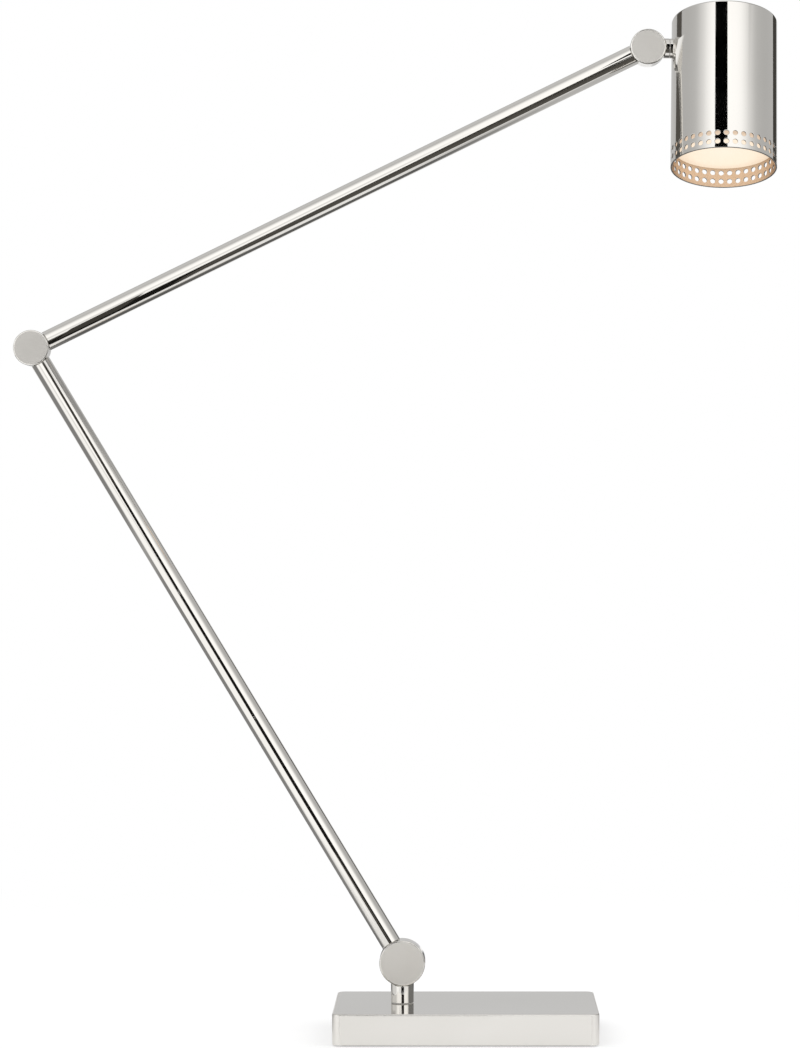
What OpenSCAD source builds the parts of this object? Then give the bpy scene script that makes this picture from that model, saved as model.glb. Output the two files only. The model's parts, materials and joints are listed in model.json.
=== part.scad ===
// Architect lamp: a polished two-arm desk lamp on a weighted base, with a drum head
// whose lower edge is pierced by two rows of round holes. Millimetres, +Z up, +X right,
// -Y towards the viewer. The origin is the centre of the base's underside.

/* [Base] */
// Width of the base slab
base_w = 166; // [150:1:200]
// Depth of the base slab
base_d = 100; // [90:1:130]
// Height of the top of the slab above the table
base_top = 20.2; // [19:0.2:26]
// Radius of the slab's upright corners
base_corner_r = 5; // [4:0.5:9]
// Rounding along the slab's top edge
base_edge_r = 0.8; // [0.4:0.1:1.2]
// Sheet thickness of the cover
cover_t = 1.5; // [1.2:0.1:2]
// Gap between the table and the cover's lower edge
cover_lift = 0.8; // [0.4:0.1:1.2]
// Thickness of the felt pad
pad_t = 1.6; // [1.4:0.1:2]
// How far the felt pad stands in from the cover's outline
pad_inset = 4; // [3:0.5:8]
// How far the base screws stand in from the cover's sides
base_screw_inset = 16; // [14:1:24]
// Radius of the cord's hole in the rear bush
cord_r = 2.5; // [1.8:0.1:3]
// Height of the cord bush above the table
cord_h = 8.4; // [8:0.1:9.4]

/* [Stem] */
// Distance of the stem from the middle of the base
stem_x = -40.2; // [-50:0.2:-20]
// Radius of the stem
stem_r = 7.25; // [6.5:0.05:8]
// Radius of the threaded tube below the stem
nipple_r = 5; // [4:0.1:5.4]
// Height of the shoulder pivot above the table
pivot_h = 46; // [45:0.5:60]

/* [Arms] */
// Radius of both arm tubes
tube_r = 6.35; // [5.6:0.05:7]
// Wall of both arm tubes
tube_wall = 1.2; // [0.8:0.1:1.6]
// Lower arm from pivot to pivot
lower_len = 455.2; // [300:0.2:600]
// Upper arm from pivot to pivot
upper_len = 435; // [300:0.2:600]
// Direction of the lower arm, counted up from the right
lower_ang = 121.1; // [70:0.1:145]
// Direction of the upper arm, counted up from the right
upper_ang = 26; // [12:0.1:50]

/* [Knuckles] */
// Thickness of each knuckle, both halves together
knuckle_t = 14; // [13:0.5:17]
// Radius of the shoulder knuckle
shoulder_r = 14.5; // [12.5:0.1:14.8]
// Radius of the elbow and head knuckles
joint_r = 11.3; // [11.2:0.1:12]
// Rounding of a knuckle's outer edge
knuckle_edge_r = 0.8; // [0.3:0.1:1.2]
// Radius of the pivot screws' shanks
screw_r = 2; // [1.6:0.1:2.2]

/* [Head] */
// Outer radius of the shade
shade_r = 33.4; // [32:0.1:40]
// Length of the shade
shade_len = 99.5; // [95:0.5:130]
// Wall of the shade
shade_wall = 0.9; // [0.7:0.1:1.2]
// Rounding of the shade's top edge
shade_edge_r = 1.1; // [0.9:0.1:2]
// Distance of the neck's axis below the shade's top
neck_drop = 19.1; // [14:0.1:22]
// Distance from the head pivot to the shade's axis
neck_len = 48.6; // [48:0.1:56]
// Turn of the head about the neck, which shows its mouth to the viewer
head_roll = 16; // [0:1:40]
// Lean of the head to the right
head_lean = 1.6; // [0:0.1:4]
// Number of holes in each row
holes = 38; // [20:2:44]
// Radius of the holes
hole_r = 1.63; // [1.2:0.01:2]
// Height of the lower row above the rim
hole_row_h = 4.2; // [3:0.1:6]
// Distance between the two rows
hole_row_gap = 5.7; // [4.5:0.1:6]
// Angle of the first hole from the front
hole_phase = -2; // [-9:0.5:9]
// Height of the diffuser above the rim
diffuser_h = 12.7; // [12.4:0.1:20]
// Thickness of the diffuser
diffuser_t = 2; // [1.5:0.1:3]

/* [Fits] */
// Gap between a knuckle's rim and a tube's coped end
cope_gap = 0.35; // [0.3:0.05:0.6]
// Gap between a knuckle's two halves
seam = 0.2; // [0.1:0.05:0.4]
// Radial clearance of shafts that turn
run = 0.05; // [0.02:0.01:0.1]
// Clearance round loose inner pieces
loose = 0.3; // [0.2:0.05:0.5]

/* [Hidden] */
$fn = 64;
fine = 240;
ease = 1;

half_t = knuckle_t / 2;
bore_r = tube_r - tube_wall;
spigot_len = 14;
butt_gap = 0.1;
lead_r = 1.4;
lead_room = 0.25;
lead_bore_r = lead_r + lead_room;
lead_start = 2;
land_r = 4.6;
groove_rim = 2.8;
groove_depth = 4;
friction_r = 4.4;
friction_t = 0.8;
face_t = 1.6;
screw_head_r = screw_r * 1.75;
screw_head_t = 1.4;
spring_t = 0.6;
cap_r = 5.2;
cap_t = 1.2;
cap_gap = 0.2;
pocket_r = screw_head_r + loose;
cap_z = half_t - cap_t;
head_z = cap_z - cap_gap - screw_head_t;
pocket_z = head_z - spring_t;

shoulder_p = [stem_x, 0, pivot_h];
elbow_p = shoulder_p + polar(lower_len, lower_ang);
head_p = elbow_p + polar(upper_len, upper_ang);

weight_top = base_top - cover_t;
thrust_t = 0.5;
stem_bottom = base_top + thrust_t;
bush_r = nipple_r + 1.2;
stop_t = 1.5;
stop_ring_w = 3;
stop_ring_r = nipple_r + stop_ring_w;
stop_peg_r = 1.5;
stop_peg_room = 1.3;
stop_peg_at = stop_ring_r + stop_peg_room + stop_peg_r;
stop_peg_sunk = 4;
stop_peg_below = 0.5;
well_room = 1.2;
well_r = stop_peg_at + stop_peg_r + well_room;
well_roof = 8.1;
well_top = weight_top - well_roof;
thread_past = 1;
wave_t = 0.8;
stem_nut_t = 4.6;
nut_rim = 3.1;
stem_nut_r = nipple_r + nut_rim;
nipple_bore_r = 3;
nipple_low = well_top - stop_t - wave_t - stem_nut_t - thread_past;
nipple_in_stem = 5.6;
nipple_high = stem_bottom + nipple_in_stem;
base_screw_r = 1.7;
base_screw_head_r = 3.6;
base_screw_head_t = 3;
base_screw_end = 3;
boss_r = 3.6;
boss_len = 6;
bush_wall = 1.8;
bush_body_r = cord_r + bush_wall;
bush_lip = 1.4;
bush_flange_r = bush_body_r + bush_lip;
bush_flange_t = 1.2;
cord_room = 0.6;
channel_r = cord_r + cord_room;

wall_x = neck_len - shade_r;
saddle_t = 1.2;
roll_washer_t = 0.4;
sleeve_end = wall_x - saddle_t - roll_washer_t;
thread_r = 4;
thread_bore_r = 1.9;
inner_r = shade_r - shade_wall;
inner_saddle_r = 8;
inner_saddle_t = 2.6;
seat_x = wall_x + shade_wall + inner_saddle_t;
bracket_t = 1.5;
bracket_w = 12;
roll_nut_t = 4.6;
roll_nut_rim = 3.4;
roll_nut_r = thread_r + roll_nut_rim;
roll_wave_rim = 2.6;
thread_end = seat_x + bracket_t + wave_t + roll_nut_t + thread_past;
small_screw_r = 1.5;
small_head_r = 2.5;
small_head_t = 1.5;
bracket_screw_len = 5;
flange_screw_len = 3;
rim_z = neck_drop - shade_len;
nut_room = 3.2;
leg_z = -(roll_nut_r + nut_room);
sink_boss_r = 8;
sink_fin_drop = 1;
sink_fin_top = leg_z - sink_fin_drop;
sink_fin_h = 12.5;
sink_fin_t = 1.2;
sink_fin_in = 2;
sink_fin_edge = 1;
sink_plate_t = 6;
sink_plate_z = sink_fin_top - sink_fin_h - sink_plate_t;
sink_r = inner_r - loose;
sink_fins = 18;
board_t = 1.6;
board_r = 27.5;
board_z = sink_plate_z - board_t;
led_size = 3;
led_t = 0.8;
// Each row of light-emitting chips: how many, and how far from the axis
led_rows = [[6, 7], [12, 15]];
diffuser_z = rim_z + diffuser_h;
diffuser_top = diffuser_z + diffuser_t;
reflector_t = 1.2;
reflector_low_r = inner_r - loose;
flange_screw_at = board_r - reflector_t - small_head_r - loose;
flange_in_r = flange_screw_at - small_head_r - loose;
head_lead_in = 13.2;
head_lead_x = neck_len - head_lead_in;
head_lead_bend = 5;

nickel = [0.80, 0.79, 0.76];
steel = [0.66, 0.67, 0.68];
iron = [0.22, 0.22, 0.23];
brass = [0.75, 0.62, 0.35];
nylon = [0.13, 0.13, 0.13];
rubber = [0.09, 0.09, 0.09];
felt = [0.16, 0.16, 0.17];
white = [0.93, 0.92, 0.89];
alloy = [0.72, 0.73, 0.75];
board_green = [0.88, 0.90, 0.88];
led_yellow = [0.96, 0.86, 0.45];
opal = [1.00, 0.96, 0.88];
lead_red = [0.55, 0.10, 0.09];

// A point at a distance and an angle in the upright plane of the arms
function polar(len, ang) = [len * cos(ang), 0, len * sin(ang)];

// Places children at a pivot, with their +X along an arm's direction
module along(p, ang) {
    translate(p) rotate([0, -ang, 0]) children();
}

// A cylinder along +X from x0 to x1
module rod_x(r, x0, x1) {
    translate([x0, 0, 0]) rotate([0, 90, 0]) cylinder(r = r, h = x1 - x0);
}

// A ring along +Z
module ring(r_in, r_out, h) {
    difference() {
        cylinder(r = r_out, h = h);
        translate([0, 0, -ease]) cylinder(r = r_in, h = h + 2 * ease);
    }
}

// Children's +Z turned to the rear
module to_rear() {
    rotate([-90, 0, 0]) children();
}

// Children's +Z turned to the front
module to_front() {
    rotate([90, 0, 0]) children();
}

// Outline of a slab's cross-section with two rounded top corners
module slab_section(w, h, r) {
    translate([-w / 2, 0]) square([w, h - r]);
    translate([-w / 2 + r, 0]) square([w - 2 * r, h]);
    for (s = [-1, 1]) {
        translate([s * (w / 2 - r), h - r]) circle(r);
    }
}

// Slab with rounded upright corners and a rounded top edge
module rounded_slab(w, d, h, corner, edge) {
    to_front() translate([0, 0, -(d / 2 - corner)]) {
        linear_extrude(d - 2 * corner) slab_section(w, h, edge);
    }
    rotate([0, 0, 90]) to_front() translate([0, 0, -(w / 2 - corner)]) {
        linear_extrude(w - 2 * corner) slab_section(d, h, edge);
    }
    for (x = [-1, 1], y = [-1, 1]) {
        translate([x * (w / 2 - corner), y * (d / 2 - corner), 0]) rotate_extrude() {
            intersection() {
                slab_section(2 * corner, h, edge);
                square([corner, h]);
            }
        }
    }
}

// Flat plate with rounded upright corners
module rounded_plate(w, d, h, corner) {
    linear_extrude(h) {
        square([w - 2 * corner, d], center = true);
        square([w, d - 2 * corner], center = true);
        for (x = [-1, 1], y = [-1, 1]) {
            translate([x * (w / 2 - corner), y * (d / 2 - corner)]) circle(corner);
        }
    }
}

// Children at each base screw
module at_base_screws() {
    for (x = [-1, 1], y = [-1, 1]) {
        translate([x * (base_w / 2 - base_screw_inset), y * (base_d / 2 - base_screw_inset), 0]) {
            children();
        }
    }
}

module base_cover() {
    color(nickel) difference() {
        union() {
            difference() {
                translate([0, 0, cover_lift]) {
                    rounded_slab(base_w, base_d, base_top - cover_lift, base_corner_r, base_edge_r);
                }
                translate([0, 0, -ease]) {
                    rounded_plate(
                        base_w - 2 * cover_t, base_d - 2 * cover_t,
                        weight_top + ease, base_corner_r - cover_t
                    );
                }
            }
            at_base_screws() translate([0, 0, weight_top - boss_len]) {
                cylinder(r = boss_r, h = boss_len + cover_t / 2);
            }
        }
        at_base_screws() translate([0, 0, weight_top - boss_len - ease]) {
            cylinder(r = base_screw_r, h = boss_len + ease);
        }
        translate([stem_x, 0, weight_top - ease]) cylinder(r = bush_r, h = cover_t + 2 * ease);
        translate([stem_x, base_d / 2 - cover_t - ease, cord_h]) {
            to_rear() cylinder(r = bush_body_r, h = cover_t + 2 * ease);
        }
    }
}

module base_weight() {
    gap = cover_t + loose;
    color(iron) difference() {
        translate([0, 0, pad_t]) {
            rounded_plate(
                base_w - 2 * gap, base_d - 2 * gap,
                weight_top - pad_t, base_corner_r - cover_t
            );
        }
        at_base_screws() {
            translate([0, 0, weight_top - boss_len - loose]) {
                cylinder(r = boss_r + loose, h = 2 * boss_len);
            }
            cylinder(r = base_screw_r + loose, h = weight_top);
            translate([0, 0, pad_t - ease]) {
                cylinder(r = base_screw_head_r + loose, h = base_screw_head_t + loose + ease);
            }
        }
        translate([stem_x, 0, 0]) {
            cylinder(r = bush_r, h = base_top);
            cylinder(r = well_r, h = well_top);
            translate([-stop_peg_at, 0, 0]) cylinder(r = stop_peg_r, h = well_top + stop_peg_sunk);
            translate([0, 0, cord_h]) to_rear() cylinder(r = channel_r, h = base_d);
            translate([0, base_d / 2 - cover_t - bush_flange_t - loose, cord_h]) {
                to_rear() cylinder(r = bush_flange_r + loose, h = base_d);
            }
        }
    }
}

module base_screws() {
    socket_r = 1.7;
    color(steel) at_base_screws() difference() {
        translate([0, 0, pad_t + loose]) {
            cylinder(r = base_screw_head_r, h = base_screw_head_t);
            cylinder(r = base_screw_r, h = weight_top - pad_t - base_screw_end);
        }
        translate([0, 0, pad_t + loose - ease]) {
            cylinder(r = socket_r, h = ease + base_screw_head_t / 2, $fn = 6);
        }
    }
}

module foot_pad() {
    color(felt) {
        rounded_plate(base_w - 2 * pad_inset, base_d - 2 * pad_inset, pad_t, base_corner_r - cover_t);
    }
}

module cord_bush() {
    wall_y = base_d / 2;
    color(rubber) translate([stem_x, 0, cord_h]) to_rear() difference() {
        union() {
            translate([0, 0, wall_y - cover_t - bush_flange_t]) {
                cylinder(r = bush_flange_r, h = bush_flange_t);
                cylinder(r = bush_body_r, h = cover_t + 2 * bush_flange_t);
            }
            translate([0, 0, wall_y]) cylinder(r = bush_flange_r, h = bush_flange_t);
        }
        translate([0, 0, wall_y / 2]) cylinder(r = cord_r, h = wall_y);
    }
}

module swivel_bush() {
    color(brass) translate([stem_x, 0, well_top]) ring(nipple_r + run, bush_r, base_top - well_top);
}

module thrust_washer() {
    color(nylon) translate([stem_x, 0, base_top]) ring(nipple_r + run, stem_r - loose, thrust_t);
}

module stop_peg() {
    color(steel) translate([stem_x - stop_peg_at, 0, well_top - stop_t - stop_peg_below]) {
        cylinder(r = stop_peg_r, h = stop_peg_below + stop_t + stop_peg_sunk);
    }
}

module stem_post() {
    color(nickel) difference() {
        translate([stem_x, 0, stem_bottom]) ring(nipple_r, stem_r, pivot_h - stem_bottom - ease);
        translate(shoulder_p) cope(shoulder_r);
    }
}

// The space round a knuckle that a tube's end is cut back to
module cope(r) {
    rotate([90, 0, 0]) cylinder(r = r + cope_gap, h = 4 * tube_r, center = true);
}

module stem_nipple() {
    color(brass) translate([stem_x, 0, nipple_low]) {
        ring(nipple_bore_r, nipple_r, nipple_high - nipple_low);
    }
}

module stop_washer() {
    tab_w = 2 * stop_peg_r;
    color(steel) translate([stem_x, 0, well_top - stop_t]) difference() {
        union() {
            cylinder(r = stop_ring_r, h = stop_t);
            translate([0, -tab_w / 2, 0]) cube([stop_peg_at + stop_peg_r, tab_w, stop_t]);
        }
        translate([0, 0, -ease]) cylinder(r = nipple_r, h = stop_t + 2 * ease);
    }
}

module stem_wave_washer() {
    color(steel) translate([stem_x, 0, well_top - stop_t - wave_t]) {
        ring(nipple_r, stop_ring_r, wave_t);
    }
}

module stem_nut() {
    color(brass) translate([stem_x, 0, well_top - stop_t - wave_t - stem_nut_t]) difference() {
        cylinder(r = stem_nut_r, h = stem_nut_t, $fn = 6);
        translate([0, 0, -ease]) cylinder(r = nipple_r, h = stem_nut_t + 2 * ease);
    }
}

// Half of a knuckle in cross-section: distance from the pivot, then distance from the seam
module half_section(r) {
    e = knuckle_edge_r;
    difference() {
        union() {
            square([r - e, half_t]);
            square([r, half_t - e]);
            translate([r - e, half_t - e]) circle(e);
        }
        square([2 * r, seam / 2]);
        square([friction_r + seam, friction_t / 2]);
        translate([land_r, 0]) square([r - groove_rim - land_r, groove_depth]);
    }
}

// The half without its pivot bore, its neck along +X, seen with the half on the +Z side
module knuckle_blank(r, neck_r, neck_end) {
    difference() {
        union() {
            rotate_extrude() half_section(r);
            rod_x(neck_r, r - groove_rim / 2, neck_end);
        }
        translate([0, 0, -2 * tube_r + seam / 2]) cylinder(r = r + cope_gap, h = 2 * tube_r);
        rod_x(lead_bore_r, land_r + ease, neck_end + ease);
    }
}

// Plain half, with the blind threaded hole of the pivot screw
module front_half(r, neck_r, neck_end) {
    to_front() difference() {
        knuckle_blank(r, neck_r, neck_end);
        cylinder(r = screw_r, h = half_t - face_t);
    }
}

// Half with the pivot bore, the pocket for the screw's head and the seat of the cap
module rear_half(r, neck_r, neck_end) {
    to_rear() difference() {
        knuckle_blank(r, neck_r, neck_end);
        cylinder(r = screw_r + run, h = half_t);
        translate([0, 0, pocket_z]) cylinder(r = pocket_r, h = half_t);
        translate([0, 0, cap_z]) cylinder(r = cap_r, h = half_t);
    }
}

module pivot_screw() {
    socket_r = 1.45;
    tip = half_t - face_t - loose;
    color(steel) to_rear() difference() {
        union() {
            translate([0, 0, -tip]) cylinder(r = screw_r, h = tip + head_z + screw_head_t / 2);
            translate([0, 0, head_z]) cylinder(r = screw_head_r, h = screw_head_t);
        }
        translate([0, 0, head_z + screw_head_t / 2]) cylinder(r = socket_r, h = screw_head_t, $fn = 6);
    }
}

module spring_washer() {
    color(steel) to_rear() translate([0, 0, pocket_z]) ring(screw_r, screw_head_r, spring_t);
}

module friction_washer() {
    color(nylon) to_rear() translate([0, 0, -friction_t / 2]) ring(screw_r + run, friction_r, friction_t);
}

module rear_cap() {
    color(nickel) to_rear() translate([0, 0, cap_z]) cylinder(r = cap_r, h = cap_t);
}

// Straight tube between two pivots, its ends cut round their knuckles
module arm_tube(p, ang, len, r_low, r_high) {
    color(nickel) along(p, ang) difference() {
        rod_x(tube_r, 0, len);
        rod_x(bore_r, -ease, len + ease);
        cope(r_low);
        translate([len, 0, 0]) cope(r_high);
    }
}

// The pair of wires inside an arm
module arm_lead(p, ang, len, r_low, r_high) {
    color(lead_red) along(p, ang) rod_x(lead_r, r_low + lead_start, len - r_high - lead_start);
}

module shoulder_rear_half() {
    color(nickel) along(shoulder_p, -90) {
        rear_half(shoulder_r, nipple_r, pivot_h - nipple_high - butt_gap);
    }
}

module shoulder_friction_washer() {
    translate(shoulder_p) friction_washer();
}

module shoulder_rear_cap() {
    translate(shoulder_p) rear_cap();
}

module shoulder_front_half() {
    color(nickel) along(shoulder_p, lower_ang) {
        front_half(shoulder_r, bore_r, shoulder_r + spigot_len);
    }
}

module shoulder_screw() {
    translate(shoulder_p) pivot_screw();
}

module shoulder_spring_washer() {
    translate(shoulder_p) spring_washer();
}

module lower_arm_tube() {
    arm_tube(shoulder_p, lower_ang, lower_len, shoulder_r, joint_r);
}

module lower_lead() {
    arm_lead(shoulder_p, lower_ang, lower_len, shoulder_r, joint_r);
}

module elbow_rear_half() {
    color(nickel) along(elbow_p, lower_ang + 180) rear_half(joint_r, bore_r, joint_r + spigot_len);
}

module elbow_friction_washer() {
    translate(elbow_p) friction_washer();
}

module elbow_rear_cap() {
    translate(elbow_p) rear_cap();
}

module elbow_front_half() {
    color(nickel) along(elbow_p, upper_ang) front_half(joint_r, bore_r, joint_r + spigot_len);
}

module elbow_screw() {
    translate(elbow_p) pivot_screw();
}

module elbow_spring_washer() {
    translate(elbow_p) spring_washer();
}

module upper_arm_tube() {
    arm_tube(elbow_p, upper_ang, upper_len, joint_r, joint_r);
}

module upper_lead() {
    arm_lead(elbow_p, upper_ang, upper_len, joint_r, joint_r);
}

module head_rear_half() {
    color(nickel) along(head_p, upper_ang + 180) rear_half(joint_r, bore_r, joint_r + spigot_len);
}

module head_friction_washer() {
    translate(head_p) friction_washer();
}

module head_rear_cap() {
    translate(head_p) rear_cap();
}

module head_front_half() {
    color(nickel) along(head_p, -head_lean) {
        front_half(joint_r, bore_r, sleeve_end);
        difference() {
            rod_x(thread_r, sleeve_end, thread_end);
            rod_x(thread_bore_r, 0, thread_end + ease);
        }
    }
}

module head_screw() {
    translate(head_p) pivot_screw();
}

module head_spring_washer() {
    translate(head_p) spring_washer();
}

module neck_sleeve() {
    color(nickel) along(head_p, -head_lean) difference() {
        rod_x(tube_r, 0, sleeve_end);
        rod_x(bore_r, -ease, sleeve_end + ease);
        cope(joint_r);
    }
}

// A ring along +X from x0 to x1
module ring_x(r_in, r_out, x0, x1) {
    difference() {
        rod_x(r_out, x0, x1);
        rod_x(r_in, x0 - ease, x1 + ease);
    }
}

module roll_washer() {
    color(nylon) along(head_p, -head_lean) {
        ring_x(thread_r, tube_r - loose, sleeve_end, sleeve_end + roll_washer_t);
    }
}

module roll_wave_washer() {
    x0 = seat_x + bracket_t;
    color(steel) along(head_p, -head_lean) ring_x(thread_r, thread_r + roll_wave_rim, x0, x0 + wave_t);
}

module roll_nut() {
    x0 = seat_x + bracket_t + wave_t;
    color(brass) along(head_p, -head_lean) translate([x0, 0, 0]) rotate([0, 90, 0]) difference() {
        cylinder(r = roll_nut_r, h = roll_nut_t, $fn = 6);
        translate([0, 0, -ease]) cylinder(r = thread_r, h = roll_nut_t + 2 * ease);
    }
}

// The head's own frame: +X along the neck from the pivot, +Z up along the shade's axis
module in_head() {
    along(head_p, -head_lean) rotate([-head_roll, 0, 0]) children();
}

// Children on the shade's axis
module on_axis() {
    in_head() translate([neck_len, 0, 0]) children();
}

module outer_saddle() {
    color(nickel) in_head() difference() {
        rod_x(tube_r, wall_x - saddle_t, wall_x + 2 * saddle_t);
        rod_x(thread_r + run, 0, neck_len);
        translate([neck_len, 0, -shade_len]) cylinder(r = shade_r, h = 2 * shade_len, $fn = fine);
    }
}

module inner_saddle() {
    color(alloy) in_head() difference() {
        intersection() {
            rod_x(inner_saddle_r, wall_x, seat_x);
            translate([neck_len, 0, -shade_len]) cylinder(r = inner_r, h = 2 * shade_len, $fn = fine);
        }
        rod_x(thread_r + run, 0, neck_len);
    }
}

module head_bracket() {
    reach = neck_len + sink_boss_r - seat_x;
    color(steel) in_head() difference() {
        union() {
            translate([seat_x, -bracket_w / 2, leg_z]) {
                cube([bracket_t, bracket_w, inner_saddle_r - leg_z]);
                cube([reach, bracket_w, bracket_t]);
            }
        }
        rod_x(thread_r + run, 0, neck_len);
        translate([head_lead_x, 0, leg_z - ease]) {
            cylinder(r = lead_r + loose, h = bracket_t + 2 * ease);
        }
        at_bracket_screws() translate([0, 0, leg_z - ease]) {
            cylinder(r = small_screw_r, h = bracket_t + 2 * ease);
        }
    }
}

// Children at the two screws that hold the heat sink to the bracket
module at_bracket_screws() {
    for (y = [-1, 1]) {
        translate([neck_len, y * sink_boss_r / 2, 0]) children();
    }
}

module bracket_screws() {
    color(steel) in_head() at_bracket_screws() translate([0, 0, leg_z - bracket_screw_len]) {
        cylinder(r = small_screw_r, h = bracket_screw_len + bracket_t);
        translate([0, 0, bracket_screw_len + bracket_t]) cylinder(r = small_head_r, h = small_head_t);
    }
}

module heat_sink() {
    fin_in = sink_boss_r + sink_fin_in;
    fin_out = sink_r - sink_fin_edge;
    color(alloy) on_axis() difference() {
        union() {
            translate([0, 0, sink_plate_z]) cylinder(r = sink_r, h = sink_plate_t);
            translate([0, 0, sink_plate_z]) cylinder(r = sink_boss_r, h = leg_z - sink_plate_z);
            for (i = [0 : sink_fins - 1]) {
                rotate([0, 0, (i + 0.5) * 360 / sink_fins]) {
                    translate([fin_in, -sink_fin_t / 2, sink_plate_z + sink_plate_t / 2]) {
                        cube([fin_out - fin_in, sink_fin_t, sink_plate_t / 2 + sink_fin_h]);
                    }
                }
            }
        }
        translate([head_lead_x - neck_len, 0, sink_plate_z - ease]) {
            cylinder(r = lead_r + loose, h = sink_plate_t + 2 * ease);
        }
        for (y = [-1, 1]) {
            translate([0, y * sink_boss_r / 2, leg_z - bracket_screw_len - ease]) {
                cylinder(r = small_screw_r, h = bracket_screw_len + 2 * ease);
            }
        }
        at_flange_screws() translate([0, 0, sink_plate_z - ease]) {
            cylinder(r = small_screw_r, h = flange_screw_len + 2 * ease);
        }
    }
}

// Children at the three screws that hold the reflector and the board
module at_flange_screws() {
    for (i = [0 : 2]) {
        rotate([0, 0, 30 + i * 120]) translate([flange_screw_at, 0, 0]) children();
    }
}

module led_board() {
    color(board_green) on_axis() difference() {
        translate([0, 0, board_z]) cylinder(r = board_r, h = board_t);
        at_flange_screws() translate([0, 0, board_z - ease]) {
            cylinder(r = small_screw_r, h = board_t + 2 * ease);
        }
    }
}

module leds() {
    color(led_yellow) on_axis() for (row = led_rows) {
        for (i = [0 : row[0] - 1]) {
            rotate([0, 0, i * 360 / row[0]]) {
                translate([row[1] - led_size / 2, -led_size / 2, board_z - led_t]) {
                    cube([led_size, led_size, led_t]);
                }
            }
        }
    }
}

module reflector() {
    top_z = board_z;
    low_z = diffuser_top;
    color(white) on_axis() difference() {
        rotate_extrude() polygon([
            [flange_in_r, top_z],
            [board_r, top_z],
            [reflector_low_r, low_z],
            [reflector_low_r - reflector_t, low_z],
            [board_r - reflector_t, top_z - reflector_t],
            [flange_in_r, top_z - reflector_t]
        ]);
        at_flange_screws() translate([0, 0, top_z - 2 * reflector_t]) {
            cylinder(r = small_screw_r, h = 3 * reflector_t);
        }
    }
}

module reflector_screws() {
    color(steel) on_axis() at_flange_screws() translate([0, 0, board_z - reflector_t]) {
        cylinder(r = small_screw_r, h = reflector_t + board_t + flange_screw_len);
        translate([0, 0, -small_head_t]) cylinder(r = small_head_r, h = small_head_t);
    }
}

module diffuser() {
    color(opal) on_axis() translate([0, 0, diffuser_z]) cylinder(r = inner_r - loose, h = diffuser_t);
}

module head_lead() {
    x0 = thread_end + loose;
    b = head_lead_bend;
    color(lead_red) in_head() {
        rod_x(lead_r, x0, head_lead_x - b);
        translate([head_lead_x - b, 0, -b]) to_front() rotate_extrude(angle = 90) {
            translate([b, 0]) circle(lead_r);
        }
        translate([head_lead_x, 0, sink_plate_z]) cylinder(r = lead_r, h = -b - sink_plate_z);
    }
}

module shade() {
    e = shade_edge_r;
    top = neck_drop;
    color(nickel) difference() {
        on_axis() {
            rotate_extrude() difference() {
                union() {
                    translate([0, rim_z]) square([shade_r, shade_len - e]);
                    translate([0, rim_z]) square([shade_r - e, shade_len]);
                    translate([shade_r - e, top - e]) circle(e);
                }
                translate([0, rim_z - ease]) square([inner_r, shade_len + ease - shade_wall]);
                translate([-2 * e, rim_z - ease]) square([2 * e, shade_len + 2 * ease]);
            }
        }
        on_axis() for (i = [0 : holes - 1], row = [0, 1]) {
            rotate([0, 0, hole_phase + i * 360 / holes]) {
                translate([0, 1 - inner_r, rim_z + hole_row_h + row * hole_row_gap]) to_front() {
                    cylinder(r = hole_r, h = shade_wall + 1 + ease);
                }
            }
        }
        in_head() rod_x(thread_r + run, 0, neck_len / 2);
    }
}

base_cover();
base_weight();
base_screws();
foot_pad();
cord_bush();
swivel_bush();
thrust_washer();
stop_peg();
stem_post();
stem_nipple();
stop_washer();
stem_wave_washer();
stem_nut();
shoulder_rear_half();
shoulder_friction_washer();
shoulder_rear_cap();
shoulder_front_half();
shoulder_screw();
shoulder_spring_washer();
lower_arm_tube();
lower_lead();
elbow_rear_half();
elbow_friction_washer();
elbow_rear_cap();
elbow_front_half();
elbow_screw();
elbow_spring_washer();
upper_arm_tube();
upper_lead();
head_rear_half();
head_friction_washer();
head_rear_cap();
head_front_half();
head_screw();
head_spring_washer();
neck_sleeve();
roll_washer();
roll_wave_washer();
roll_nut();
outer_saddle();
inner_saddle();
head_bracket();
bracket_screws();
heat_sink();
led_board();
leds();
reflector();
reflector_screws();
diffuser();
head_lead();
shade();
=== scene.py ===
import json
import math

import bmesh
import bpy
from mathutils import Matrix, Vector

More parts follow.
